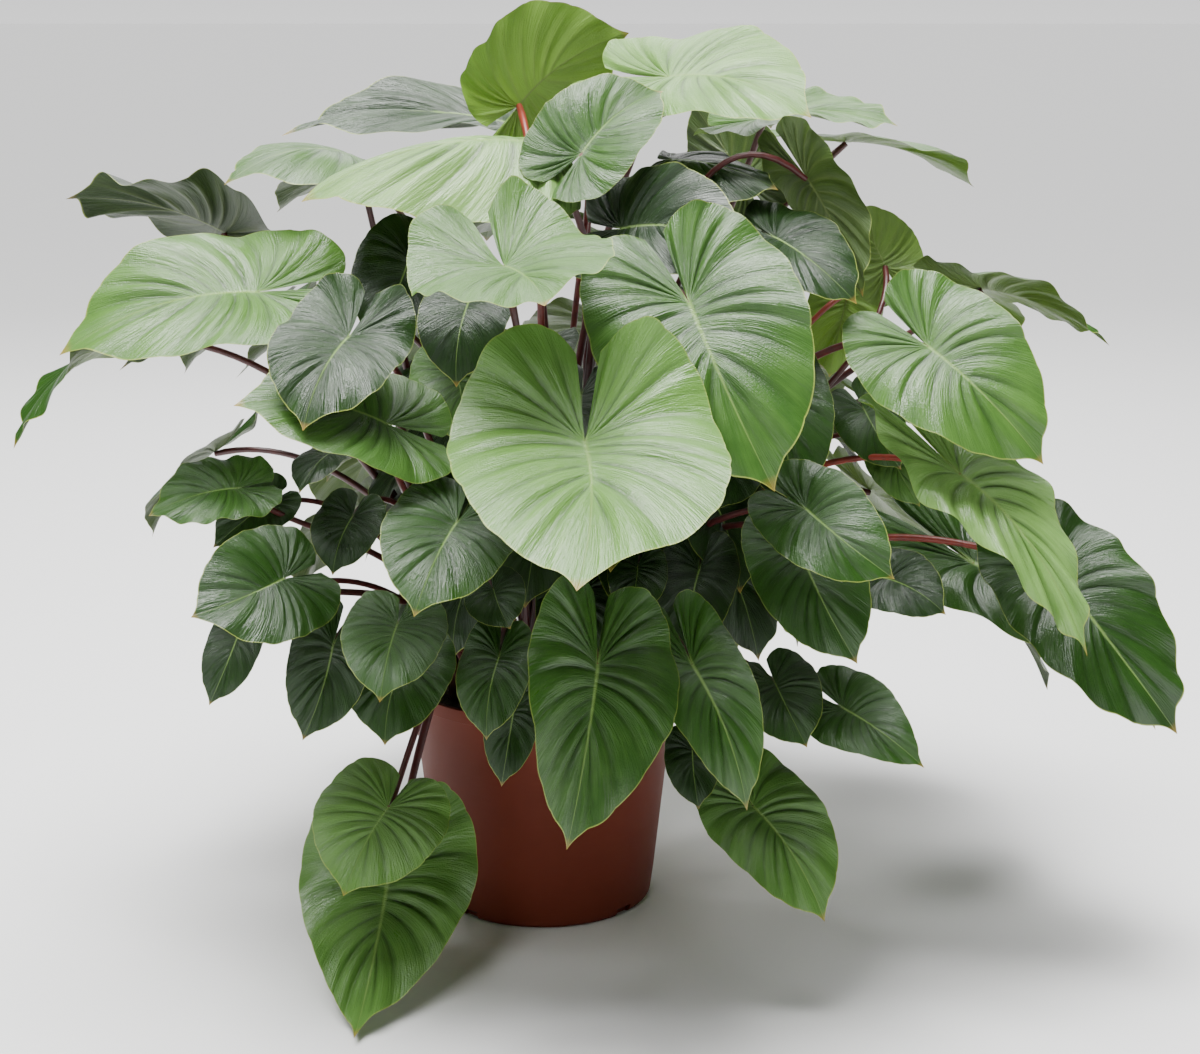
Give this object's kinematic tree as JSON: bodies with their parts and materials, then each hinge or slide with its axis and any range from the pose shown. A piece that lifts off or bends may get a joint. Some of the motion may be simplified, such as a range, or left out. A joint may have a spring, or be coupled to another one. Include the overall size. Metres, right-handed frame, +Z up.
{
  "type": "potted houseplant",
  "caption": "Potted maggy homalomena: heart-shaped glossy leaves on dark red stalks, in a tapered brown-red nursery pot of soil",
  "frame": {"origin": "middle of the pot's flat underside", "axes": "+Z up; -Y is the side the picture shows; +X is its right"},
  "size_m": [1.0698, 1.0428, 0.8849],
  "materials": {
    "pot": "satin",
    "soil": "matte",
    "stalk": "satin",
    "leaf": "satin"
  },
  "bodies": {
    "root": {"blade_lower_left_1": "leaf", "blade_lower_left_10": "leaf", "blade_lower_left_11": "leaf", "blade_lower_left_12": "leaf", "blade_lower_left_2": "leaf", "blade_lower_left_4": "leaf", "blade_lower_left_9": "leaf", "blade_lower_middle_1": "leaf", "blade_lower_middle_2": "leaf", "blade_lower_right_1": "leaf", "blade_lower_right_2": "leaf", "blade_lower_right_3": "leaf", "blade_lower_right_4": "leaf", "blade_lower_right_6": "leaf", "blade_lower_right_7": "leaf", "blade_lower_right_8": "leaf", "blade_middle_1": "leaf", "blade_middle_2": "leaf", "blade_middle_3": "leaf", "blade_middle_4": "leaf", "blade_middle_5": "leaf", "blade_right_1": "leaf", "blade_right_2": "leaf", "blade_right_3": "leaf", "blade_right_4": "leaf", "blade_right_5": "leaf", "blade_right_6": "leaf", "blade_right_7": "leaf", "blade_top_1": "leaf", "blade_top_10": "leaf", "blade_top_2": "leaf", "blade_top_3": "leaf", "blade_top_5": "leaf", "blade_top_6": "leaf", "blade_top_7": "leaf", "blade_top_8": "leaf", "blade_top_9": "leaf", "blade_upper_left_1": "leaf", "blade_upper_left_2": "leaf", "blade_upper_left_3": "leaf", "blade_upper_left_4": "leaf", "blade_upper_left_5": "leaf", "blade_upper_left_6": "leaf", "blade_upper_left_7": "leaf", "blade_upper_left_8": "leaf", "blade_upper_left_9": "leaf", "pot": "pot", "potting_soil": "soil", "shoot_back_left": "stalk", "shoot_back_middle": "stalk", "shoot_back_right": "stalk", "shoot_back_side": "stalk", "shoot_front": "stalk", "shoot_front_left": "stalk", "shoot_front_right": "stalk", "shoot_left": "stalk", "shoot_middle": "stalk", "shoot_right": "stalk", "shoot_upper_right": "stalk"}
  },
  "joints": []
}
